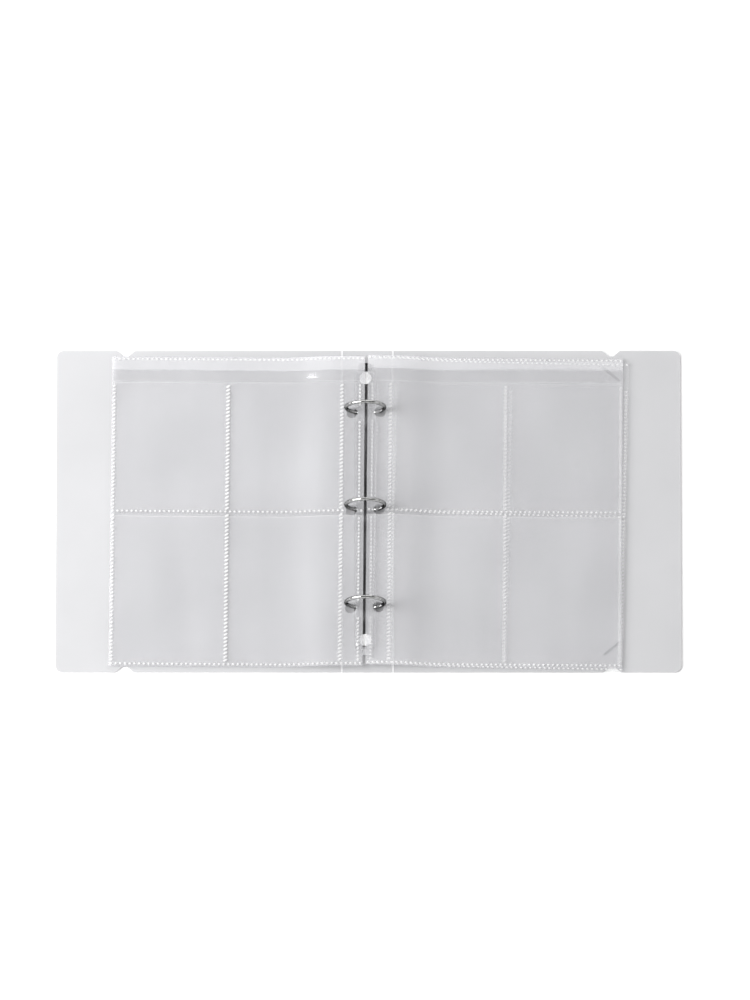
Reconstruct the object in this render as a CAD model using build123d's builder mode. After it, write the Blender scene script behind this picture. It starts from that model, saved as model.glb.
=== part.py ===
"""Clear three-ring collector's album, lying open and flat.

A frosted sheet is folded into two covers and a spine. A slim ring mechanism is riveted to the
spine, and sheets of film with four pockets each hang on its three rings, half of them to each side.
Frame: X across the open album, Y along the spine, Z up, origin under the middle of the rings.
"""
import os
from math import asin, atan2, degrees, sin, sqrt

from build123d import *

os.makedirs("parts", exist_ok=True)

# Covers and spine, one sheet thinned along two fold lines
cover_thickness = 1.0
fore_margin = {-1: 37.7, 1: 42.0}  # outer edge of the top sheet to the fore edge, front and back
head_margin = 4.5  # sheets' head or foot to the cover's edge
spine_clearance = 3.05  # rings to the closed covers
spine_offset = 1.15  # the rings sit this far in front of the middle of the spine
crease_width = 1.6
crease_thickness = 0.5
corner_radius = 5.0
notch_inset = 47.5  # fore edge to the middle of a thumb notch
notch_mouth = 12.5
notch_floor = 3.2
notch_depth = 4.0
notch_round = 1.5
slit_length = 15.0  # corner slits of the back cover
slit_width = 0.6
slit_drop = 17.0  # cover edge to the middle of a slit
slit_angle = 40.0

# Rings
ring_count = 3
ring_pitch = 70.0
ring_radius = 13.2  # to the middle of the wire
wire_radius = 1.25
ring_root = 3.6  # from the middle of the rings to the end of the wire
tip_gap = 0.3  # between the two halves of a closed ring
peg_radius = 0.55
peg_length = 0.9
peg_clearance = 0.2

# Housing and carriers
housing_width = 15.0
housing_height = 4.6
housing_end = 16.0  # carriers' end to the housing's end
housing_wall = 0.6
housing_shoulder = 2.0  # radius of the arched top's sides
housing_corner = 4.0
lip_width = 2.0
lip_thickness = 0.5
carrier_end = 14.0  # outer ring to the carriers' end
carrier_thickness = 0.8
carrier_rise = 1.3  # spine surface to the underside of the carriers
carrier_gap = 0.3  # between the two carriers
running_clearance = 0.3
slot_clearance = 0.4

# Triggers, one at each end
trigger_clearance = 1.0  # trigger's side to the housing's lip
trigger_thickness = 0.8
trigger_slot = 4.4
nose_width = 2.4
nose_overlap = 1.0  # how far the nose reaches under the carriers
nose_drop = 0.2  # carriers' underside to the nose
trigger_pivot_gap = 4.5  # carriers' end to the pivot
trigger_overhang = 5.0  # beyond the housing
trigger_lift = 2.5  # pivot to the thumb pad's edge at the housing's end
trigger_pad_lift = 1.2
pivot_radius = 1.0
pivot_clearance = 0.05

# Rivets
rivet_inset = 6.0  # housing's end to a rivet
rivet_radius = 1.5
rivet_head_radius = 4.2
rivet_head = 0.3
rivet_back_radius = 3.4
rivet_back = 0.4
rivet_clearance = 0.05

# Pocket sheets
sheets_per_side = 4
page_width = 171.5
page_height = 222.0
film_thickness = 0.18
pocket_air = 0.09
sheet_pitch = 0.65
sheet_clearance = 0.3  # lowest sheet to the cover
housing_clearance = 0.6  # lowest sheet to the top of the housing
hole_radius = 3.8
hole_margin = 8.4  # inner edge of a sheet to its holes
level_reach = 5.0  # level stretch beyond the holes
droop_length = 45.0  # where a sheet comes down from the rings to the cover
flap_height = 18.0
pocket_mouth = 0.6  # between the flap and the upper pocket's edge
middle_weld = 2.0
lower_mouth = 2.6  # between the upper pocket's foot and the lower pocket's edge

# Levels and places that follow
half_page = page_height / 2
cover_height = page_height + 2 * head_margin
spine_width = 2 * (ring_radius + wire_radius + spine_clearance)
carrier_length = (ring_count - 1) * ring_pitch + 2 * carrier_end
housing_length = carrier_length + 2 * housing_end
rivet_spacing = housing_length - 2 * rivet_inset
cover_top = cover_thickness
housing_top = cover_top + housing_height
carrier_low = cover_top + carrier_rise
carrier_middle = carrier_low + carrier_thickness / 2
ring_centre = carrier_middle + sqrt(ring_radius**2 - ring_root**2)
sheet_low = housing_top + housing_clearance
fold_x = spine_width / 2
ring_places = [(number - (ring_count - 1) / 2) * -ring_pitch for number in range(ring_count)]
pivot_y = carrier_length / 2 + trigger_pivot_gap
sides = {"left": -1, "right": 1}


def sheet_rise(number):
    """Height of a sheet above the lowest one at the rings."""
    return (number - 1) * sheet_pitch


def hole_place(number):
    """How far from the middle of the spine the rings pass through a sheet."""
    middle = sheet_low + sheet_rise(number) + film_thickness + pocket_air / 2
    return sqrt(ring_radius**2 - (ring_centre - middle) ** 2)


def fore_place(side):
    """How far from the middle of the rings a cover's fore edge lies."""
    return hole_place(sheets_per_side) - hole_margin + page_width + fore_margin[side]


def fold_place(side):
    """Where a cover folds."""
    return spine_offset + side * fold_x


def save(builder, name):
    """Label a finished piece and write it."""
    builder.part.label = name
    export_step(builder.part, f"parts/{name}.step")


# Covers


def cover_blank(side):
    """One cover with its rounded fore corners and a thumb notch in each short edge."""
    inner = abs(fold_place(side)) + crease_width / 2
    outer = fore_place(side)
    notch_x = outer - notch_inset
    with BuildPart() as blank:
        with BuildSketch():
            with Locations((side * (inner + outer) / 2, 0)):
                Rectangle(outer - inner, cover_height)
            for end in (-1, 1):
                edge = end * cover_height / 2
                floor = edge - end * notch_depth
                with BuildLine():
                    Polyline(
                        (side * notch_x - notch_mouth / 2, edge),
                        (side * notch_x - notch_floor / 2, floor),
                        (side * notch_x + notch_floor / 2, floor),
                        (side * notch_x + notch_mouth / 2, edge),
                        close=True,
                    )
                make_face(mode=Mode.SUBTRACT)
        extrude(amount=cover_thickness)
        upright = blank.edges().filter_by(Axis.Z)
        fillet(upright.filter_by(lambda edge: abs(edge.center().X) > outer - corner_radius), corner_radius)
        upright = blank.edges().filter_by(Axis.Z)
        near_notch = upright.filter_by(lambda edge: abs(abs(edge.center().X) - notch_x) < notch_mouth)
        fillet(near_notch, notch_round)
    return blank


front_cover = cover_blank(-1)
save(front_cover, "front_cover")

back_blank = cover_blank(1)
with BuildPart() as back_cover:
    add(back_blank.part)
    slit_x = fore_place(1) - notch_inset
    slit_y = cover_height / 2 - slit_drop
    for end in (-1, 1):
        with BuildSketch():
            with Locations(Location((slit_x, end * slit_y), -end * slit_angle)):
                SlotOverall(slit_length, slit_width)
        extrude(amount=cover_thickness, mode=Mode.SUBTRACT)
save(back_cover, "back_cover")

with BuildPart() as spine_panel:
    with BuildSketch():
        with Locations((spine_offset, 0)):
            Rectangle(spine_width - crease_width, cover_height)
    extrude(amount=cover_thickness)
    with BuildSketch():
        with GridLocations(0, rivet_spacing, 1, 2):
            Circle(rivet_radius + rivet_clearance)
    extrude(amount=cover_thickness, mode=Mode.SUBTRACT)
    with BuildSketch():
        with GridLocations(0, rivet_spacing, 1, 2):
            Circle(rivet_back_radius + rivet_clearance)
    extrude(amount=rivet_back, mode=Mode.SUBTRACT)
save(spine_panel, "spine_panel")

for name, side in (("front_crease", -1), ("back_crease", 1)):
    with BuildPart() as crease:
        with BuildSketch(Plane.XY.offset((cover_thickness - crease_thickness) / 2)):
            with Locations((fold_place(side), 0)):
                Rectangle(crease_width, cover_height)
        extrude(amount=crease_thickness)
    save(crease, name)


# Rings and carriers


def cross_plane(y):
    """The upright plane across the album at y, with its own x along X and its own y along Z."""
    return Plane.XZ.offset(-y)


def half_ring(side, y):
    """Half of a round ring: from its tip at the top, round the outside, to its root in the carrier."""
    tip_turn = degrees(asin(tip_gap / 2 / ring_radius))
    root_turn = 180 - degrees(asin(ring_root / ring_radius))
    with BuildPart() as ring:
        with BuildLine(cross_plane(y)) as wire:
            CenterArc((0, ring_centre), ring_radius, 90 - side * tip_turn, -side * (root_turn - tip_turn))
        with BuildSketch(Plane(origin=wire.line @ 0, z_dir=wire.line % 0)):
            Circle(wire_radius)
        sweep(path=wire.line)
        tip = Plane(origin=wire.line @ 0, z_dir=wire.line % 0)
        if side < 0:
            with BuildSketch(tip):
                Circle(peg_radius)
            extrude(amount=-peg_length)
        else:
            with BuildSketch(tip):
                Circle(peg_radius + peg_clearance)
            extrude(amount=peg_length - tip_gap + peg_clearance, mode=Mode.SUBTRACT)
    return ring


half_rings = {"left": [], "right": []}
for side_name, side in sides.items():
    for number, y in enumerate(ring_places, start=1):
        half = half_ring(side, y)
        save(half, f"{side_name}_ring_{number}")
        half_rings[side_name].append(half)

carrier_inner = carrier_gap / 2
carrier_outer = housing_width / 2 - housing_wall - running_clearance
for side_name, side in sides.items():
    with BuildPart() as carrier:
        with BuildSketch(Plane.XY.offset(carrier_low)):
            with Locations((side * (carrier_inner + carrier_outer) / 2, 0)):
                Rectangle(carrier_outer - carrier_inner, carrier_length)
        extrude(amount=carrier_thickness)
        for half in half_rings[side_name]:
            add(half.part, mode=Mode.SUBTRACT)
    save(carrier, f"{side_name}_carrier")

# Housing: an arched channel whose foot turns in under the carriers, on the spine

half_width = housing_width / 2
slot_half = wire_radius + slot_clearance
slot_floor = carrier_low - running_clearance
slot_inner = ring_root + wire_radius
with BuildPart() as housing:
    with BuildSketch(Plane.XY.offset(cover_top)):
        RectangleRounded(housing_width, housing_length, housing_corner)
    extrude(amount=housing_height)
    top_edges = housing.faces().sort_by(Axis.Z)[-1].edges()
    fillet(top_edges.filter_by(Axis.Y), housing_shoulder)
    with BuildSketch(cross_plane(-housing_length / 2)):
        with BuildLine():
            Polyline(
                (-half_width + lip_width, cover_top),
                (-half_width + lip_width, cover_top + lip_thickness),
                (-half_width + housing_wall, cover_top + lip_thickness),
                (-half_width + housing_wall, housing_top - housing_shoulder),
            )
            RadiusArc(
                (-half_width + housing_wall, housing_top - housing_shoulder),
                (-half_width + housing_shoulder, housing_top - housing_wall),
                housing_shoulder - housing_wall,
            )
            Line(
                (-half_width + housing_shoulder, housing_top - housing_wall),
                (half_width - housing_shoulder, housing_top - housing_wall),
            )
            RadiusArc(
                (half_width - housing_shoulder, housing_top - housing_wall),
                (half_width - housing_wall, housing_top - housing_shoulder),
                housing_shoulder - housing_wall,
            )
            Polyline(
                (half_width - housing_wall, housing_top - housing_shoulder),
                (half_width - housing_wall, cover_top + lip_thickness),
                (half_width - lip_width, cover_top + lip_thickness),
                (half_width - lip_width, cover_top),
                (-half_width + lip_width, cover_top),
            )
        make_face()
    extrude(amount=-housing_length, mode=Mode.SUBTRACT)
    with BuildSketch(Plane.XY.offset(slot_floor)):
        for y in ring_places:
            for side in sides.values():
                with Locations((side * (slot_inner + half_width + wire_radius) / 2, y)):
                    Rectangle(half_width + wire_radius - slot_inner, 2 * slot_half)
    extrude(amount=housing_height, mode=Mode.SUBTRACT)
    with BuildSketch(Plane.XY.offset(cover_top)):
        with GridLocations(0, rivet_spacing, 1, 2):
            Circle(rivet_radius + rivet_clearance)
    extrude(amount=housing_height, mode=Mode.SUBTRACT)
    with BuildSketch(Plane.YZ.offset(-housing_width)):
        with Locations((-pivot_y, carrier_middle), (pivot_y, carrier_middle)):
            Circle(pivot_radius + pivot_clearance)
    extrude(amount=2 * housing_width, mode=Mode.SUBTRACT)
save(housing, "housing")

with BuildPart() as rivets:
    for foot, radius, top in (
        (0, rivet_back_radius, rivet_back),
        (rivet_back, rivet_radius, housing_top),
        (housing_top, rivet_head_radius, housing_top + rivet_head),
    ):
        with BuildSketch(Plane.XY.offset(foot)):
            with GridLocations(0, rivet_spacing, 1, 2):
                Circle(radius)
        extrude(amount=top - foot)
save(rivets, "rivets")

# Triggers: a nose under the carriers, a pivot in the housing's walls and a thumb pad

nose_y = carrier_length / 2 - nose_overlap
nose_z = carrier_low - nose_drop - trigger_thickness / 2
trigger_width = housing_width - 2 * (lip_width + trigger_clearance)
arm_y = pivot_y - 2 * pivot_radius
exit_y = housing_length / 2
pad_y = exit_y + trigger_overhang
trigger_points = [
    (nose_y, nose_z),
    (pivot_y, carrier_middle),
    (exit_y, carrier_middle + trigger_lift - trigger_thickness),
    (pad_y, carrier_middle + trigger_lift - trigger_thickness + trigger_pad_lift),
]
rivet_y = rivet_spacing / 2
for name, end in (("top_trigger", 1), ("bottom_trigger", -1)):
    underside = [(end * y, z - trigger_thickness / 2) for y, z in trigger_points]
    upper_side = [(end * y, z + trigger_thickness / 2) for y, z in trigger_points]
    with BuildPart() as trigger:
        with BuildSketch(Plane.YZ.offset(-trigger_width / 2)):
            with BuildLine():
                Polyline(*underside, *reversed(upper_side), close=True)
            make_face()
        extrude(amount=trigger_width)
        with BuildSketch(Plane.XY):
            with Locations((0, end * rivet_y)):
                SlotOverall(trigger_slot + 2 * rivet_radius, trigger_slot, rotation=90)
            for side in sides.values():
                with Locations((side * (nose_width + trigger_width) / 4, end * (nose_y + arm_y) / 2)):
                    Rectangle((trigger_width - nose_width) / 2, arm_y - nose_y)
        extrude(amount=housing_top, mode=Mode.SUBTRACT)
        pad_edges = trigger.edges().filter_by(lambda edge: abs(edge.center().Y) > pad_y - 0.01)
        fillet(pad_edges.filter_by(Axis.Z), trigger_width / 4)
        with BuildSketch(Plane.YZ.offset(-half_width)):
            with Locations((end * pivot_y, carrier_middle)):
                Circle(pivot_radius)
        extrude(amount=housing_width)
    save(trigger, name)

# Pocket sheets: every sheet is level at the rings and comes down to the cover in two equal arcs

droop = sheet_low - cover_top - sheet_clearance
droop_angle = 2 * atan2(droop, droop_length)
droop_radius = droop_length / 2 / sin(droop_angle)
pocket_top = page_height / 2 - flap_height


def film(name, side, rise, hole_x, low_y, high_y):
    """One film of a sheet, from low_y to high_y, with whatever ring holes fall inside it."""
    inner = hole_x - hole_margin
    bend = hole_x + level_reach
    outer = inner + page_width
    high = sheet_low + rise
    low = high - droop
    edges = ((high, low), (high + film_thickness, low + film_thickness))
    with BuildPart() as layer:
        with BuildSketch(cross_plane(low_y)):
            with BuildLine():
                for near_z, far_z in edges:
                    middle = (side * (bend + droop_length / 2), (near_z + far_z) / 2)
                    Line((side * inner, near_z), (side * bend, near_z))
                    RadiusArc((side * bend, near_z), middle, side * droop_radius)
                    RadiusArc(middle, (side * (bend + droop_length), far_z), -side * droop_radius)
                    Line((side * (bend + droop_length), far_z), (side * outer, far_z))
                Line((side * inner, high), (side * inner, high + film_thickness))
                Line((side * outer, low), (side * outer, low + film_thickness))
            make_face()
        extrude(amount=low_y - high_y)
        with BuildSketch(Plane.XY.offset(low)):
            with Locations([(side * hole_x, y) for y in ring_places]):
                Circle(hole_radius)
        extrude(amount=high, mode=Mode.SUBTRACT)
    save(layer, name)


for side_name, side in sides.items():
    for number in range(1, sheets_per_side + 1):
        back_rise = sheet_rise(number)
        front_rise = back_rise + film_thickness + pocket_air
        hole_x = hole_place(number)
        sheet = f"{side_name}_sheet_{number}"
        film(f"{sheet}_back", side, back_rise, hole_x, -half_page, half_page)
        film(f"{sheet}_lower_pocket", side, front_rise, hole_x, -half_page, -middle_weld / 2 - lower_mouth)
        film(f"{sheet}_upper_pocket", side, front_rise, hole_x, -middle_weld / 2, pocket_top - pocket_mouth)
        film(f"{sheet}_flap", side, front_rise, hole_x, pocket_top, half_page)
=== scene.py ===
import math

import bmesh
import bpy
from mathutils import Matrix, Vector, noise


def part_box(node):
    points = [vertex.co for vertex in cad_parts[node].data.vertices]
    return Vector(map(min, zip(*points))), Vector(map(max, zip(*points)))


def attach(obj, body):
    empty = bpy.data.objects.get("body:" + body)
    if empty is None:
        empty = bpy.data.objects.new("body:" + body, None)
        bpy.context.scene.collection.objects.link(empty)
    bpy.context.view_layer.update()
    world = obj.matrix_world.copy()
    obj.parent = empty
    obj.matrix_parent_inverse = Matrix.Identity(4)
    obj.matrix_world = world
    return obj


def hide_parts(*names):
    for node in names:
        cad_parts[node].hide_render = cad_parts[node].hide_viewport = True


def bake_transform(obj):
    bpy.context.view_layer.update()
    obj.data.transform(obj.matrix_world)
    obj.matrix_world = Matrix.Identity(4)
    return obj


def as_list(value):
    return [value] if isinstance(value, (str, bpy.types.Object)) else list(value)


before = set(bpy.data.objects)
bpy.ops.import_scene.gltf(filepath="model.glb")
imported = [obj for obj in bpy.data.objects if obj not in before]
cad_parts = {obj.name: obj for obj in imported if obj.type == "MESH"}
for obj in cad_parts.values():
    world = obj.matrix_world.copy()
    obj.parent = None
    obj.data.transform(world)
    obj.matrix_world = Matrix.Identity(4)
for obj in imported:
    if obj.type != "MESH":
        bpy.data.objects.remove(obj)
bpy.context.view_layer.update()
mm = 0.001

print("album: camera and studio")

view = {
    "lookAt": (6.65 * mm, 8.2 * mm, 0.0),
    "lean": 17.5,  # degrees off straight down, from the foot of the album
    "distance": 14.0,
    "lens": 735.0,
}


def setCamera():
    data = bpy.data.cameras.new("albumCamera")
    data.lens = view["lens"]
    data.clip_end = 60.0
    camera = bpy.data.objects.new("albumCamera", data)
    bpy.context.scene.collection.objects.link(camera)
    lean = math.radians(view["lean"])
    away = Vector((0, -math.sin(lean), math.cos(lean)))
    camera.location = Vector(view["lookAt"]) + away * view["distance"]
    camera.rotation_euler = (lean, 0, 0)
    bpy.context.scene.camera = camera


studio = {
    "floorSize": 3.0,
    "floorDrop": 0.1 * mm,  # keeps the floor just clear of the covers
    "backdrop": 1.0,
    "floorColour": (0.97, 0.97, 0.97),
    # light of the room by the sine of the height: dim horizon, bright walls, dark ceiling
    "bands": [(0.02, 0.2), (0.1, 0.3), (0.22, 1.0), (0.46, 1.0), (0.62, 0.04), (0.98, 0.03)],
    "key": {"place": (-1.4, -0.15, 1.25), "size": (0.9, 1.6), "power": 49.0},
    "fill": {"place": (-0.2, -1.3, 1.3), "size": (1.6, 0.8), "power": 4.0},
    "back": {"place": (0.0, 1.15, 1.25), "size": (2.2, 0.9), "power": 11.0},
    "bounces": {"transparent": 64, "others": 3},  # light has to get through four films twice over
}


def addLamp(name, lamp):
    data = bpy.data.lights.new(name, "AREA")
    data.shape = "RECTANGLE"
    data.size, data.size_y = lamp["size"]
    data.energy = lamp["power"]
    lampObject = bpy.data.objects.new(name, data)
    lampObject.location = lamp["place"]
    lampObject.rotation_euler = (-Vector(lamp["place"])).to_track_quat("-Z", "Y").to_euler()
    bpy.context.scene.collection.objects.link(lampObject)


def buildStudio():
    world = bpy.data.worlds.new("room")
    bpy.context.scene.world = world
    world.use_nodes = True
    tree = world.node_tree
    place = tree.nodes.new("ShaderNodeTexCoord")
    split = tree.nodes.new("ShaderNodeSeparateXYZ")
    bands = tree.nodes.new("ShaderNodeValToRGB")
    bands.color_ramp.interpolation = "EASE"
    stops = bands.color_ramp.elements
    for height, light in studio["bands"]:
        stop = stops.new(height)
        stop.color = (light, light, light, 1)
    stops.remove(stops[0])
    stops.remove(stops[-1])
    tree.links.new(place.outputs["Generated"], split.inputs["Vector"])
    tree.links.new(split.outputs["Z"], bands.inputs["Fac"])
    seen = tree.nodes.new("ShaderNodeLightPath")
    choose = tree.nodes.new("ShaderNodeMix")
    choose.inputs["B"].default_value = studio["backdrop"]
    tree.links.new(seen.outputs["Is Camera Ray"], choose.inputs["Factor"])
    tree.links.new(bands.outputs["Color"], choose.inputs["A"])
    tree.links.new(choose.outputs["Result"], tree.nodes["Background"].inputs["Strength"])
    tree.nodes["Background"].inputs["Color"].default_value = (1, 1, 1, 1)
    half = studio["floorSize"] / 2
    mesh = bpy.data.meshes.new("floor")
    corners = [(-half, -half, 0), (half, -half, 0), (half, half, 0), (-half, half, 0)]
    mesh.from_pydata(corners, [], [(0, 1, 2, 3)])
    floor = bpy.data.objects.new("floor", mesh)
    floor.location = (0, 0, -studio["floorDrop"])
    bpy.context.scene.collection.objects.link(floor)
    floor.data.materials.append(plainPaint("floorPaper", studio["floorColour"], 0.9))
    for name in ("key", "fill", "back"):
        addLamp(name + "Lamp", studio[name])
    bpy.context.scene.view_settings.view_transform = "Standard"
    cycles = bpy.context.scene.cycles
    cycles.transparent_max_bounces = studio["bounces"]["transparent"]
    cycles.diffuse_bounces = studio["bounces"]["others"]
    cycles.glossy_bounces = studio["bounces"]["others"]


def newMaterial(name):
    material = bpy.data.materials.new(name)
    material.use_nodes = True
    tree = material.node_tree
    return material, tree, tree.nodes["Principled BSDF"]


def plainPaint(name, colour, roughness):
    material, tree, shader = newMaterial(name)
    shader.inputs["Base Color"].default_value = (*colour, 1)
    shader.inputs["Roughness"].default_value = roughness
    shader.inputs["Specular IOR Level"].default_value = 0.2
    return material


# noise in the piece's own place, stretched along the axes
def addGrain(tree, scale, detail=2.0, stretch=(1, 1, 1)):
    place = tree.nodes.new("ShaderNodeTexCoord")
    mapping = tree.nodes.new("ShaderNodeMapping")
    mapping.inputs["Scale"].default_value = stretch
    grain = tree.nodes.new("ShaderNodeTexNoise")
    grain.inputs["Scale"].default_value = scale
    grain.inputs["Detail"].default_value = detail
    tree.links.new(place.outputs["Object"], mapping.inputs["Vector"])
    tree.links.new(mapping.outputs["Vector"], grain.inputs["Vector"])
    return grain.outputs["Fac"]


# brings noise from its usual middle range to low..high
def spread(tree, value, low, high):
    ranger = tree.nodes.new("ShaderNodeMapRange")
    ranger.inputs["From Min"].default_value = 0.3
    ranger.inputs["From Max"].default_value = 0.7
    ranger.inputs["To Min"].default_value = low
    ranger.inputs["To Max"].default_value = high
    tree.links.new(value, ranger.inputs["Value"])
    return ranger.outputs["Result"]


# a colour between dark and light
def tint(tree, value, dark, light):
    mix = tree.nodes.new("ShaderNodeMix")
    mix.data_type = "RGBA"
    mix.inputs[6].default_value = (*dark, 1)
    mix.inputs[7].default_value = (*light, 1)
    tree.links.new(value, mix.inputs[0])
    return mix.outputs[2]


# a bump of that height, in metres, in front of the shader
def roughen(tree, shader, value, height, strength=1.0, before=None):
    bump = tree.nodes.new("ShaderNodeBump")
    bump.inputs["Strength"].default_value = strength
    bump.inputs["Distance"].default_value = height
    tree.links.new(value, bump.inputs["Height"])
    if before is not None:
        tree.links.new(before.outputs["Normal"], bump.inputs["Normal"])
    tree.links.new(bump.outputs["Normal"], shader.inputs["Normal"])
    return bump


coverFinish = {
    "light": (0.715, 0.715, 0.73),
    "cloud": 0.95,  # how much darker its cloudy patches are
    "alpha": 0.6,
    "roughness": (0.36, 0.5),
    "clouds": 14.0,
    "grain": 1400.0,
    "grainHeight": 0.006 * mm,
    "waves": 9.0,
    "waveHeight": 0.35 * mm,
}


# the covers' plastic; light and alpha change it where it was creased, and round a cut slit it is made near
# black as painted shadow
def frostedPlastic(name, light=None, alpha=None):
    finish = coverFinish
    light = light or finish["light"]
    dark = tuple(part * finish["cloud"] for part in light)
    material, tree, shader = newMaterial(name)
    clouds = spread(tree, addGrain(tree, finish["clouds"], 3.0), 0.0, 1.0)
    tree.links.new(tint(tree, clouds, dark, light), shader.inputs["Base Color"])
    fine = addGrain(tree, finish["grain"], 3.0)
    tree.links.new(spread(tree, fine, *finish["roughness"]), shader.inputs["Roughness"])
    shader.inputs["Alpha"].default_value = alpha or finish["alpha"]
    shader.inputs["IOR"].default_value = 1.49
    waves = roughen(tree, shader, addGrain(tree, finish["waves"], 1.0), finish["waveHeight"])
    roughen(tree, shader, fine, finish["grainHeight"], 1.0, waves)
    return material


# how dense each plastic looks, how much of its gloss is mirror-like, and how rough that gloss is
filmFinish = {
    "film": {"grey": (0.75, 0.85), "blue": 0.02, "alpha": 0.11, "mirror": 0.07, "rough": (0.1, 0.22)},
    "under": {"grey": (0.75, 0.83), "blue": 0.02, "alpha": 0.1, "mirror": 0.08, "rough": 0.2},
    # flap: the same film as the pockets, given a whiter and denser finish as painted highlight for the sheen
    # on its bulge; its mirror share is real gloss
    "flap": {"grey": (0.88, 0.97), "blue": 0.02, "alpha": 0.27, "mirror": 0.34, "rough": (0.1, 0.2)},
    "weld": {"grey": (0.93, 1.0), "blue": 0.0, "alpha": 0.55, "mirror": 0.0, "rough": 0.45},
    "softWeld": {"grey": (0.93, 1.0), "blue": 0.0, "alpha": 0.32, "mirror": 0.0, "rough": 0.45},
    # the faint weld finish also colours the painted highlight strips along the pocket mouths and the flap's
    # edge
    "faintWeldAndEdgeHighlight": {"grey": (0.93, 1.0), "blue": 0.0, "alpha": 0.2, "mirror": 0.0, "rough": 0.45},
}
filmGrain = {
    "clouds": 20.0,
    "streaks": 60.0,
    "streakStretch": (1.0, 0.12, 1.0),
    "waves": 22.0,
    "waveStretch": (1.0, 0.3, 1.0),
    "waveHeight": 0.05 * mm,
}
weldLooks = ("weld", "softWeld", "faintWeldAndEdgeHighlight")


# film, flap and weld plastic; the sheets under the top one show only a faint cloud
def clearFilm(kind):
    finish, grain = filmFinish[kind], filmGrain
    dark, light = [(grey, grey, grey + finish["blue"]) for grey in finish["grey"]]
    material, tree, shader = newMaterial(kind + "Film")
    shader.inputs["Alpha"].default_value = finish["alpha"]
    shader.inputs["Metallic"].default_value = finish["mirror"]  # clear film gives back more gloss than haze
    if kind == "under" or kind in weldLooks:
        clouds = spread(tree, addGrain(tree, grain["clouds"], 0.0), 0.0, 1.0)
        tree.links.new(tint(tree, clouds, dark, light), shader.inputs["Base Color"])
        shader.inputs["Roughness"].default_value = finish["rough"]
        return material
    streaks = addGrain(tree, grain["streaks"], 2.0, grain["streakStretch"])
    mixed = spread(tree, streaks, 0.0, 1.0)
    tree.links.new(tint(tree, mixed, dark, light), shader.inputs["Base Color"])
    tree.links.new(spread(tree, streaks, *finish["rough"]), shader.inputs["Roughness"])
    shader.inputs["IOR"].default_value = 1.5
    waves = addGrain(tree, grain["waves"], 1.0, grain["waveStretch"])
    roughen(tree, shader, waves, grain["waveHeight"])
    return material


# along is how far the polishing lines are drawn out along the spine, rim the colour of grazing light
metalFinish = {
    "ring": {"grey": (0.45, 0.55), "blue": (0.0, -0.01), "rough": (0.02, 0.05), "along": 1, "rim": 0.0},
    "housing": {"grey": (0.4, 0.55), "blue": (0.01, 0.01), "rough": (0.14, 0.26), "along": 0.03, "rim": 1.0},
    "carrier": {"grey": (0.35, 0.45), "blue": (0.01, 0.01), "rough": (0.3, 0.45), "along": 0.03, "rim": 1.0},
    "trigger": {"grey": (0.28, 0.4), "blue": (0.01, 0.01), "rough": (0.15, 0.3), "along": 0.2, "rim": 1.0},
    "rivet": {"grey": (0.9, 0.98), "blue": (0.0, 0.0), "rough": (0.5, 0.62), "along": 1, "rim": 1.0},
}
metalGrain = {"scale": 900.0, "height": 0.004 * mm}


def polishedMetal(kind):
    finish = metalFinish[kind]
    dark, light = [(grey, grey, grey + blue) for grey, blue in zip(finish["grey"], finish["blue"])]
    material, tree, shader = newMaterial(kind + "Metal")
    grain = addGrain(tree, metalGrain["scale"], 3.0, (1, finish["along"], 1))
    mixed = spread(tree, grain, 0.0, 1.0)
    tree.links.new(tint(tree, mixed, dark, light), shader.inputs["Base Color"])
    tree.links.new(spread(tree, grain, *finish["rough"]), shader.inputs["Roughness"])
    shader.inputs["Metallic"].default_value = 1.0
    shader.inputs["Specular Tint"].default_value = (*[finish["rim"]] * 3, 1)
    roughen(tree, shader, grain, metalGrain["height"])
    return material


setCamera()
buildStudio()

print("album: finishes")

frosted = frostedPlastic("frostedPlastic")
films = {kind: clearFilm(kind) for kind in filmFinish}
metals = {kind: polishedMetal(kind) for kind in metalFinish}
nodeMetal = {
    "housing": "housing",
    "rivets": "rivet",
    "left_carrier": "carrier",
    "right_carrier": "carrier",
    "top_trigger": "trigger",
    "bottom_trigger": "trigger",
}


def paint(node, material):
    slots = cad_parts[node].material_slots
    if slots:
        slots[0].material = material
    else:
        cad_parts[node].data.materials.append(material)


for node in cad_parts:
    if "cover" in node or node == "spine_panel" or "crease" in node:
        paint(node, frosted)
    elif "_ring_" in node:
        paint(node, metals["ring"])
    elif node in nodeMetal:
        paint(node, metals[nodeMetal[node]])

print("album: creases and slits")

creaseMake = {
    "groove": 0.28 * mm,  # depth on the upper face
    "back": 0.2 * mm,  # depth on the underside
    "across": 12,
    "along": 60,
    "light": (0.9, 0.9, 0.91),
    "alpha": 0.75,
    "sharpAbove": 40.0,
}


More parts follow.
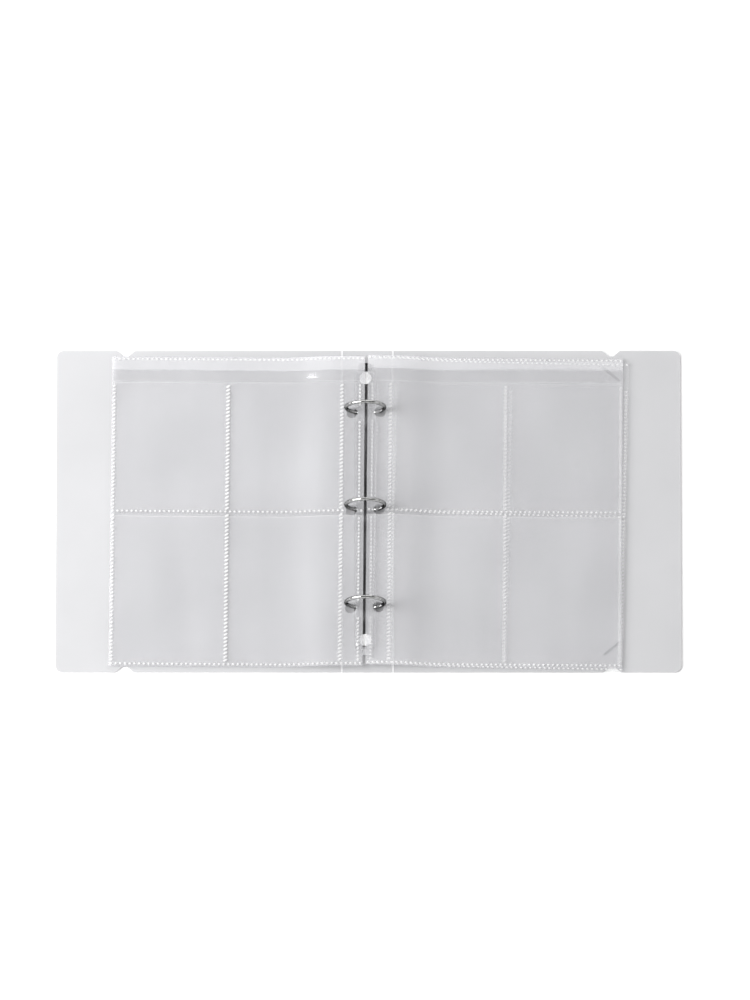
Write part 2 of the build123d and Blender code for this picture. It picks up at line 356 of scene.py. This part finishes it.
# the thinned fold line between the spine and a cover, a shallow groove on both faces
def creaseStrip(node, cover):
    low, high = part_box(node)
    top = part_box("spine_panel")[1].z
    columns, rows = creaseMake["across"], creaseMake["along"]
    points, faces = [], []
    for i in range(rows + 1):
        y = low.y + (high.y - low.y) * i / rows
        for j in range(columns + 1):
            x = low.x + (high.x - low.x) * j / columns
            dip = 0.5 - 0.5 * math.cos(2 * math.pi * j / columns)
            points.append((x, y, top - creaseMake["groove"] * dip))
            points.append((x, y, creaseMake["back"] * dip))
    wide = 2 * (columns + 1)
    for i in range(rows):
        for j in range(columns):
            a = i * wide + 2 * j
            faces.append((a, a + 2, a + wide + 2, a + wide))
            faces.append((a + 1, a + wide + 1, a + wide + 3, a + 3))
        for a in (i * wide, i * wide + 2 * columns):
            faces.append((a, a + wide, a + wide + 1, a + 1))
    for start in (0, rows * wide):
        for j in range(columns):
            a = start + 2 * j
            faces.append((a, a + 1, a + 3, a + 2))
    mesh = bpy.data.meshes.new(node + "_strip")
    mesh.from_pydata(points, [], faces)
    tidy = bmesh.new()
    tidy.from_mesh(mesh)
    bmesh.ops.recalc_face_normals(tidy, faces=tidy.faces)
    tidy.to_mesh(mesh)
    tidy.free()
    mesh.shade_smooth()
    mesh.set_sharp_from_angle(angle=math.radians(creaseMake["sharpAbove"]))
    strip = bpy.data.objects.new(node + "_strip", mesh)
    bpy.context.scene.collection.objects.link(strip)
    strip.data.materials.append(creasePlastic)
    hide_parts(node)
    ends = [(low.x, 0, top / 2), (high.x, 0, top / 2)]
    if cover == "front_cover":
        ends.reverse()
    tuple(ends[0])
    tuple(ends[1])
    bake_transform(strip)


slitMake = {
    "foreEdge": 47.5 * mm,
    "coverEdge": 17.0 * mm,
    "length": 15.0 * mm,
    "slant": 40.0,
    "halfGap": 0.16 * mm,
    "halfLip": 0.8 * mm,
    "lip": 0.14 * mm,
    "foot": 0.05 * mm,  # lip's underside above the floor
    "arc": 8,
    # near black: painted shadow of the slit's inside, not the plastic's own colour
    "light": (0.1, 0.1, 0.11),
    "alpha": 0.97,
    "sharpAbove": 50.0,
}


# the pushed-up lip round one corner slit of the back cover, with the slit's inner walls, painted near black
# as the shadow inside the slit
def slitShadowLip(end):
    low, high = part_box("back_cover")
    middle = Vector((high.x - slitMake["foreEdge"], end * (high.y - slitMake["coverEdge"]), 0))
    turn = math.radians(-end * slitMake["slant"])
    run = Vector((math.cos(turn), math.sin(turn), 0))
    side = Vector((-run.y, run.x, 0))
    arc = slitMake["arc"]
    outline = []
    for half in (0, 1):
        for i in range(arc + 1):
            angle = math.pi * (i / arc - 0.5) + math.pi * half
            outline.append((1 - 2 * half, math.cos(angle), math.sin(angle)))
    profile = [
        (slitMake["halfGap"], slitMake["foot"]),
        (slitMake["halfGap"], high.z + slitMake["lip"] * 0.6),
        ((slitMake["halfGap"] + slitMake["halfLip"]) / 2, high.z + slitMake["lip"]),
        (slitMake["halfLip"], high.z + 0.01 * mm),
        (slitMake["halfLip"], slitMake["foot"]),
    ]
    points, faces = [], []
    reach = slitMake["length"] / 2 - slitMake["halfLip"]
    for where, cosine, sine in outline:
        for out, z in profile:
            flat = middle + run * (where * reach + out * cosine) + side * (out * sine)
            points.append(flat + Vector((0, 0, z)))
    count, steps = len(outline), len(profile)
    for i in range(count):
        j = (i + 1) % count
        for k in range(steps):
            m = (k + 1) % steps
            faces.append((i * steps + k, j * steps + k, j * steps + m, i * steps + m))
    name = "top_slit_shadow_lip" if end > 0 else "bottom_slit_shadow_lip"
    mesh = bpy.data.meshes.new(name)
    mesh.from_pydata(points, [], faces)
    tidy = bmesh.new()
    tidy.from_mesh(mesh)
    bmesh.ops.recalc_face_normals(tidy, faces=tidy.faces)
    tidy.to_mesh(mesh)
    tidy.free()
    mesh.shade_smooth()
    mesh.set_sharp_from_angle(angle=math.radians(slitMake["sharpAbove"]))
    lip = bpy.data.objects.new(name, mesh)
    bpy.context.scene.collection.objects.link(lip)
    lip.data.materials.append(slitShadowPlastic)
    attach(lip, "back_cover")


creasePlastic = frostedPlastic("creasePlastic", creaseMake["light"], creaseMake["alpha"])
# painted shadow: the slit lips' plastic is made near black to stand for the shade down inside the slits
slitShadowPlastic = frostedPlastic("slitShadowPlastic", slitMake["light"], slitMake["alpha"])
creaseStrip("front_crease", "front_cover")
creaseStrip("back_crease", "back_cover")
slitShadowLip(1)
slitShadowLip(-1)

print("album: pocket sheets")

sheetMake = {
    "holeMargin": 8.4 * mm,
    "holeRadius": 3.8 * mm,
    "holeFrame": 6.0 * mm,  # half of the square patch of mesh round a hole
    "holeSides": 6,  # mesh steps along each side of that square
    "levelReach": 5.0 * mm,
    "droopLength": 45.0 * mm,
    "filmThickness": 0.18 * mm,
    "meshStep": 3.2 * mm,
    "swell": {"top": 0.5 * mm, "under": 0.06 * mm},  # how far a pocket's front stands off its back
    "spread": {"left": 1.012, "right": 1.022},  # the left films lie a little slacker
    # how each sheet lies on the rings: a small turn in degrees, then shifts along and towards the spine
    "lie": {
        "left": [
            (-0.3, -0.8 * mm, 0.1 * mm),
            (-0.55, -2.2 * mm, 0.6 * mm),
            (-0.4, -1.6 * mm, 1.1 * mm),
            (-0.5, -1.9 * mm, 1.6 * mm),
        ],
        "right": [
            (-0.4, -0.6 * mm, 0.1 * mm),
            (-0.7, -1.0 * mm, 0.7 * mm),
            (-1.3, -1.2 * mm, -1.3 * mm),
            (-0.4, -0.9 * mm, 1.7 * mm),
        ],
    },
}
ringPlaces = [sum(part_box(f"left_ring_{n}")[i].y for i in (0, 1)) / 2 for n in (1, 2, 3)]


# where one sheet lies, read from its back film
def sheetFacts(side, number):
    low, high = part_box(f"{side}_sheet_{number}_back")
    sign = -1 if side == "left" else 1
    inner = min(abs(low.x), abs(high.x))
    outer = max(abs(low.x), abs(high.x))
    return {
        "side": side,
        "number": number,
        "sign": sign,
        "inner": inner,
        "outer": outer,
        "holeX": inner + sheetMake["holeMargin"],
        "top": high.y,
        "bottom": low.y,
        "ringZ": high.z - sheetMake["filmThickness"],
        "droop": high.z - low.z - sheetMake["filmThickness"],
    }


# how far a sheet has come down from the rings, in two equal arcs
def droopAt(facts, across):
    length = sheetMake["droopLength"]
    bend = 2 * math.atan2(facts["droop"], length)
    radius = length / 2 / math.sin(bend)
    along = min(max(across - facts["holeX"] - sheetMake["levelReach"], 0.0), length)
    if along < length / 2:
        return radius - math.sqrt(radius**2 - along**2)
    return facts["droop"] - radius + math.sqrt(radius**2 - (length - along) ** 2)


# slow waves and quick ones, each as waves per metre across and along a sheet
ripple = {
    "height": 0.3 * mm,
    "slow": (22, 9),
    "quick": (75, 12),
    "quickShare": 0.45,
    "lift": 0.35,
    "start": {"left": 3.1, "right": 8.7},
    "settle": 40 * mm,  # from the holes to where the waves are full
}


# slack in the film, the same through the pile so that no film cuts its neighbour
def rippleAt(facts, across, y):
    start = ripple["start"][facts["side"]]
    slow = noise.noise(Vector((across * ripple["slow"][0], y * ripple["slow"][1], start)))
    quick = noise.noise(Vector((across * ripple["quick"][0], y * ripple["quick"][1], start + 5)))
    settle = min(max((across - facts["holeX"]) / ripple["settle"], 0.0), 1.0)
    share = 0.6 + 0.1 * facts["number"]  # the top sheets are the slackest
    return ripple["height"] * share * settle * (slow + ripple["quickShare"] * quick + ripple["lift"])


# mesh lines from start to end that pass through the fixed places
def gridStops(start, end, fixed, step):
    stops = sorted({start, end, *[p for p in fixed if start < p < end]})
    lines = []
    for near, far in zip(stops, stops[1:]):
        count = max(1, round((far - near) / step))
        lines += [near + (far - near) * i / count for i in range(count)]
    return lines + [end]


# a flat page of quads with three round holes; x counts outward from the spine
def pageMesh(facts):
    half, sides = sheetMake["holeFrame"], sheetMake["holeSides"]
    holeX, radius = facts["holeX"], sheetMake["holeRadius"]
    fixedY = [y + half * (2 * i / sides - 1) for y in ringPlaces for i in range(sides + 1)]
    fixedX = [holeX + half * (2 * i / sides - 1) for i in range(sides + 1)]
    xs = gridStops(facts["inner"], facts["outer"], fixedX, sheetMake["meshStep"])
    ys = gridStops(facts["bottom"], facts["top"], fixedY, sheetMake["meshStep"])
    page = bmesh.new()
    grid = [[page.verts.new((x, y, 0)) for x in xs] for y in ys]
    rims = []
    for row in range(len(ys) - 1):
        for column in range(len(xs) - 1):
            midX, midY = (xs[column] + xs[column + 1]) / 2, (ys[row] + ys[row + 1]) / 2
            if abs(midX - holeX) < half and any(abs(midY - y) < half for y in ringPlaces):
                continue
            near, far = grid[row], grid[row + 1]
            page.faces.new([near[column], near[column + 1], far[column + 1], far[column]])
    for ringY in ringPlaces:
        column = min(range(len(xs)), key=lambda i: abs(xs[i] - (holeX - half)))
        row = min(range(len(ys)), key=lambda i: abs(ys[i] - (ringY - half)))
        square = [grid[row][column + i] for i in range(sides)]
        square += [grid[row + i][column + sides] for i in range(sides)]
        square += [grid[row + sides][column + sides - i] for i in range(sides)]
        square += [grid[row + sides - i][column] for i in range(sides)]
        rims.append((ringY, square))
    for ringY, square in rims:
        turns = [math.atan2(v.co.y - ringY, v.co.x - holeX) for v in square]
        loops = [square]
        for share in (0.5, 1.0):
            loop = []
            for vert, turn in zip(square, turns):
                rim = Vector((holeX + radius * math.cos(turn), ringY + radius * math.sin(turn), 0))
                loop.append(page.verts.new(vert.co.lerp(rim, share)))
            loops.append(loop)
        for outside, inside in zip(loops, loops[1:]):
            for i in range(len(square)):
                j = (i + 1) % len(square)
                page.faces.new((outside[i], outside[j], inside[j], inside[i]))
    loose = [v for v in page.verts if not v.link_faces]
    bmesh.ops.delete(page, geom=loose, context="VERTS")
    return page


# keeps the stretch of a page from low to high
def cutTo(page, low, high):
    for place, side in ((low, -1), (high, 1)):
        everything = page.verts[:] + page.edges[:] + page.faces[:]
        where = {"plane_co": (0, place, 0), "plane_no": (0, side, 0)}
        bmesh.ops.bisect_plane(page, geom=everything, dist=1e-7, clear_outer=True, **where)


# lays a flat page as one thin film, its middle at heightAt(x, y)
def layFilm(page, name, heightAt, place):
    for vert in page.verts:
        vert.co = place(vert.co.x, vert.co.y, heightAt(vert.co.x, vert.co.y))
    bmesh.ops.recalc_face_normals(page, faces=page.faces)
    if sum(face.normal.z for face in page.faces) < 0:
        bmesh.ops.reverse_faces(page, faces=page.faces)
    mesh = bpy.data.meshes.new(name)
    page.to_mesh(mesh)
    page.free()
    mesh.shade_smooth()
    made = bpy.data.objects.new(name, mesh)
    bpy.context.scene.collection.objects.link(made)
    return made


# a sheet's own small turn and shift, about the middle ring
def placer(facts):
    turn, along, inward = sheetMake["lie"][facts["side"]][facts["number"] - 1]
    stretch = sheetMake["spread"][facts["side"]]
    cosine, sine = math.cos(math.radians(turn)), math.sin(math.radians(turn))

    def place(across, y, z):
        x = facts["sign"] * (across - facts["holeX"]) * stretch
        middle = facts["sign"] * (facts["holeX"] - inward)
        return Vector((middle + x * cosine - y * sine, x * sine + y * cosine + along, z))

    return place


seams = {
    "edge": 1.6 * mm,  # page's edge to the middle of its weld
    "bindingSeam": 15.4 * mm,  # page's inner edge to the first pocket
    "underFlap": 3.0 * mm,  # flap's edge to the top of the upright welds
    "dotPitch": 3.2 * mm,
    "dotSize": (1.6 * mm, 1.2 * mm),
    "dashPitch": 2.66 * mm,
    "dashLengths": (1.5 * mm, 3.0 * mm, 3.2 * mm, 2.3 * mm),  # inner edge, binding, middle and outer seam
    "dashWidth": 1.45 * mm,
    "dashSlant": 30.0,
    "height": 0.09 * mm,
    "foot": 0.06 * mm,  # how far a mark is sunk into the film
    "sides": 8,
}


# the upright weld lines of a page, counted outward from the spine
def seamPlaces(facts):
    binding = facts["inner"] + seams["bindingSeam"]
    outer = facts["outer"] - seams["edge"]
    return [facts["inner"] + seams["edge"] * 2, binding, (binding + outer) / 2, outer]


# a pocket's front stands a little off its back between the welds
def swellAt(facts, across, y, low, high):
    size = sheetMake["swell"]["top" if facts["number"] == 4 else "under"]
    lines = seamPlaces(facts)
    for near, far in zip(lines[1:], lines[2:]):
        if near < across < far and low < y < high:
            u, v = (across - near) / (far - near), (y - low) / (high - low)
            return size * math.sin(math.pi * u) ** 0.7 * math.sin(math.pi * v) ** 0.7
    return 0.0


flapMake = {
    "height": 18.0 * mm,
    "puff": {"left": 2.1 * mm, "right": 1.3 * mm},
    "start": 2.5 * mm,  # the flap lies flat down to here
    "crest": 0.6,  # how far down its bulge is highest
    "unevenness": (0.78, 0.22, 26),  # its middle share of the puff, how far it varies, and how quickly
}


# the top sheet's loose flap bulges just under its weld
def flapPuff(side, down, height, across):
    share = max(0.0, min(1.0, (down - flapMake["start"]) / (height - flapMake["start"])))
    middle, change, waves = flapMake["unevenness"]
    slack = middle + change * math.sin(8 - across * waves)
    rise = min(share / flapMake["crest"], (1 - share) / (1 - flapMake["crest"]))
    return flapMake["puff"][side] * slack * math.sin(math.pi / 2 * rise)


# one film of a sheet, standing for its CAD node
def filmPiece(facts, part, kind):
    node = f"{facts['side']}_sheet_{facts['number']}_{part}"
    low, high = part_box(node)
    rise = high.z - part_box(f"{facts['side']}_sheet_{facts['number']}_back")[1].z

    def heightAt(across, y):
        z = facts["ringZ"] - droopAt(facts, across) + rippleAt(facts, across, y) + rise
        z += sheetMake["filmThickness"] / 2
        if part.endswith("pocket"):
            z += swellAt(facts, across, y, low.y, high.y)
        if part == "flap" and facts["number"] == 4:
            z += flapPuff(facts["side"], high.y - y, high.y - low.y, across)
        return z

    page = pageMesh(facts)
    if part != "back":
        cutTo(page, low.y, high.y)
    piece = layFilm(page, node + "_film", heightAt, placer(facts))
    piece.data.materials.append(films[kind if facts["number"] == 4 else "under"])
    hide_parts(node)
    return piece


# heat-welded dots and dashes, standing just proud of the films
def weldDots(facts):
    rows = []
    across = [facts["inner"] + seams["edge"], facts["outer"] - seams["edge"]]
    flapEdge = facts["top"] - flapMake["height"]
    levels = [facts["top"] - seams["edge"], 0.0, facts["bottom"] + seams["edge"]]
    for y in levels:
        count = round((across[1] - across[0]) / seams["dotPitch"])
        for i in range(count + 1):
            x = across[0] + (across[1] - across[0]) * i / count
            rows.append((x, y, seams["dotSize"], 0.0, facts["number"] > 2))
    for x, length in zip(seamPlaces(facts), seams["dashLengths"]):
        bold = length == max(seams["dashLengths"]) and facts["side"] == "left" and facts["number"] == 4
        start, end = flapEdge - seams["underFlap"], facts["bottom"] + seams["edge"] + seams["dashPitch"]
        count = round((start - end) / seams["dashPitch"])
        for i in range(count + 1):
            y = start + (end - start) * i / count
            if abs(y) > seams["dashPitch"] * 0.7:
                rows.append((x, y, (length, seams["dashWidth"]), seams["dashSlant"], bold))
    place = placer(facts)
    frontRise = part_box(f"{facts['side']}_sheet_{facts['number']}_flap")[1].z
    frontRise -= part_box(f"{facts['side']}_sheet_{facts['number']}_back")[1].z
    points, faces, looks = [], [], []
    soft = 1 if facts["side"] == "left" else 2
    for x, y, size, slant, bold in rows:
        reach = [sheetMake["holeRadius"] + side for side in size]
        beside = abs(x - facts["holeX"]) < reach[0]
        if beside and any(abs(y - ringY) < reach[1] for ringY in ringPlaces):
            continue
        floor = facts["ringZ"] - droopAt(facts, x) + rippleAt(facts, x, y) + frontRise
        floor += sheetMake["filmThickness"] / 2
        first = len(points)
        cosine, sine = math.cos(math.radians(slant)), math.sin(math.radians(slant))
        for share, lift in ((1.0, -seams["foot"]), (0.96, seams["height"] * 0.5), (0.6, seams["height"])):
            for i in range(seams["sides"]):
                turn = 2 * math.pi * i / seams["sides"]
                u, v = size[0] / 2 * share * math.cos(turn), size[1] / 2 * share * math.sin(turn)
                dotX = x + facts["sign"] * (u * cosine - v * sine)
                points.append(place(dotX, y + u * sine + v * cosine, floor + lift))
        n = seams["sides"]
        faces.append([first + i for i in reversed(range(n))])
        for level in (first, first + n):
            for i in range(n):
                j = (i + 1) % n
                faces.append((level + i, level + j, level + n + j, level + n + i))
        faces.append([first + 2 * n + i for i in range(n)])
        looks += [0 if bold else soft] * (2 * n + 2)
    name = f"{facts['side']}_sheet_{facts['number']}_welds"
    mesh = bpy.data.meshes.new(name)
    mesh.from_pydata(points, [], faces)
    mesh.polygons.foreach_set("material_index", looks)
    solid = bmesh.new()
    solid.from_mesh(mesh)
    bmesh.ops.recalc_face_normals(solid, faces=solid.faces)
    solid.to_mesh(mesh)
    solid.free()
    mesh.shade_smooth()
    made = bpy.data.objects.new(name, mesh)
    for look in weldLooks:
        made.data.materials.append(films[look])
    bpy.context.scene.collection.objects.link(made)
    return made


mouth = {"width": 0.55 * mm, "lift": 0.02 * mm}


# a thin pale strip laid along the rounded cut edge of a pocket's mouth or of the flap: a painted highlight
# for the light that edge catches
def mouthEdgeHighlight(facts, part, edge):
    node = f"{facts['side']}_sheet_{facts['number']}_{part}"
    low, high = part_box(node)
    rise = high.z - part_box(f"{facts['side']}_sheet_{facts['number']}_back")[1].z
    start = high.y - mouth["width"] if edge == "top" else low.y
    end = high.y if edge == "top" else low.y + mouth["width"]

    def heightAt(across, y):
        z = facts["ringZ"] - droopAt(facts, across) + rippleAt(facts, across, y) + rise
        return z + sheetMake["filmThickness"] + mouth["lift"]

    page = pageMesh(facts)
    cutTo(page, start, end)
    piece = layFilm(page, node + "_mouth_highlight", heightAt, placer(facts))
    piece.data.materials.append(films["faintWeldAndEdgeHighlight"])
    return piece


def buildSheet(side, number):
    facts = sheetFacts(side, number)
    body = f"{side}_top_sheet" if number == 4 else f"{side}_sheets"
    pieces = [filmPiece(facts, "back", "film"), filmPiece(facts, "lower_pocket", "film")]
    # the flap takes the whiter flap finish, a painted highlight
    pieces += [filmPiece(facts, "upper_pocket", "film"), filmPiece(facts, "flap", "flap")]
    pieces.append(weldDots(facts))
    if number == 4:
        pieces += [mouthEdgeHighlight(facts, "flap", "bottom"), mouthEdgeHighlight(facts, "upper_pocket", "top")]
        pieces.append(mouthEdgeHighlight(facts, "lower_pocket", "top"))
    for piece in pieces:
        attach(piece, body)
    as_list(pieces[1:])


for side in ("left", "right"):
    for number in range(1, 5):
        buildSheet(side, number)

print("album: done")
